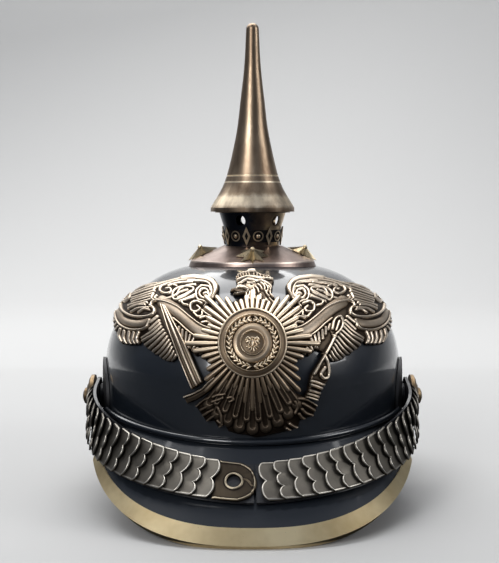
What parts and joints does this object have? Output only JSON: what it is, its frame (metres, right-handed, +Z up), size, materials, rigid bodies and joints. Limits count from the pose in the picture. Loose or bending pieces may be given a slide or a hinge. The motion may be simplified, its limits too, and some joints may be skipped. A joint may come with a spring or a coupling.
{
  "type": "spiked helmet",
  "caption": "Spiked leather dress helmet with front and rear visors, unscrewing brass spike on a vented neck, eagle plate with rayed star, and hinged chinscales",
  "frame": {"origin": "on the surface it stands on, below the middle of its footprint", "axes": "+Z up along the spike, -Y towards the front visor, +X to the right of somebody who looks at its front"},
  "size_m": [0.22, 0.3178, 0.3038],
  "materials": {
    "black_leather": "gloss lacquer",
    "lining_leather": "matte",
    "strap_leather": "satin",
    "pale_brass": "polished",
    "aged_brass": "satin, aged",
    "grey_brass": "satin, tarnished",
    "steel": "satin",
    "dark_cockade": "satin"
  },
  "bodies": {
    "helmet": {"shell": "black_leather", "front_visor": "black_leather", "neck_guard": "black_leather", "front_welt": "black_leather", "left_rear_welt": "black_leather", "right_rear_welt": "black_leather", "front_visor_lining": "lining_leather", "neck_guard_lining": "lining_leather", "sweatband": "lining_leather", "liner": "lining_leather", "visor_trim": "pale_brass", "spine": "pale_brass", "spine_studs": "pale_brass", "neck": "aged_brass", "neck_band": "aged_brass", "base_plate": "aged_brass", "star_studs": "aged_brass", "eagle_plate": "aged_brass", "guard_star": "aged_brass", "medallion": "aged_brass", "plate_posts": "aged_brass", "left_rosette": "aged_brass", "left_side_post": "aged_brass", "right_rosette": "aged_brass", "right_side_post": "aged_brass", "spine_nuts": "steel", "star_stud_nuts": "steel", "plate_nuts": "steel", "left_side_nut": "steel", "right_side_nut": "steel", "left_cockade": "dark_cockade", "right_cockade": "dark_cockade"},
    "spike_lift": {"spike_washer": "aged_brass"},
    "spike_body": {"spike": "aged_brass", "spike_thread_ring": "aged_brass"},
    "left_strap": {"left_strap_leather": "strap_leather", "left_chinscales": "grey_brass", "left_end_plate": "grey_brass", "strap_tongue": "grey_brass"},
    "right_strap": {"right_strap_leather": "strap_leather", "right_chinscales": "grey_brass", "right_end_plate": "grey_brass"}
  },
  "joints": [
    {"name": "spike_rise", "type": "slide", "parent": "helmet", "child": "spike_lift", "axis": [0, 0, 1], "range_m": [0, 0.0075]},
    {"name": "spike_turn", "type": "hinge", "parent": "spike_lift", "child": "spike_body", "pos_m": [0, 0, 0.18], "axis": [0, 0, 1], "range_deg": [0, 1800]},
    {"name": "left_strap_swing", "type": "hinge", "parent": "helmet", "child": "left_strap", "pos_m": [-0.1, -0.02, 0.058], "axis": [-1, 0, 0], "range_deg": [0, 30]},
    {"name": "right_strap_swing", "type": "hinge", "parent": "helmet", "child": "right_strap", "pos_m": [0.1, -0.02, 0.058], "axis": [-1, 0, 0], "range_deg": [0, 30]}
  ],
  "couplings": [
    {"joint": "spike_turn", "follows": "spike_rise", "rad_per_m": 4188.8},
    {"joint": "right_strap_swing", "follows": "left_strap_swing", "ratio": 1}
  ]
}
